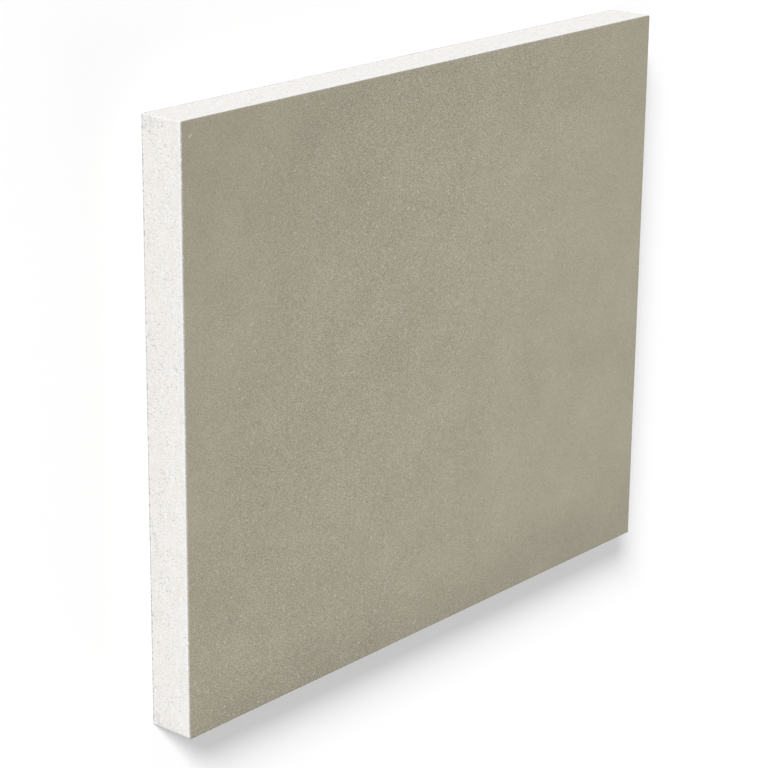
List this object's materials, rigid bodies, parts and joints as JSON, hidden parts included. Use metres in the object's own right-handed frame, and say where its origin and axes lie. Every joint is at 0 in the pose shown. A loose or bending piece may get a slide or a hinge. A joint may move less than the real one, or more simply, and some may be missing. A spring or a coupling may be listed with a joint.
{
  "type": "drywall sheet",
  "caption": "Square-cut sample of paper-faced gypsum board: a white gypsum core between bonded paper liners, bare on its sawn edges.",
  "frame": {"origin": "centre of the underside, on the back liner's outer face", "axes": "+X along the longer sawn edge, +Y along the shorter sawn edge, +Z out of the khaki-grey face"},
  "size_m": [0.18, 0.15, 0.0125],
  "materials": {
    "gypsum": "matt white set gypsum, sawn, with fine pores and a dusty nap",
    "face_liner": "matt khaki-grey recycled-fibre paper, uncoated, finely mottled with pale flecks",
    "back_liner": "matt pale grey recycled-fibre liner, uncoated"
  },
  "bodies": {
    "root": {"back_paper": "back_liner", "gypsum_core": "gypsum", "face_paper": "face_liner"}
  },
  "joints": []
}
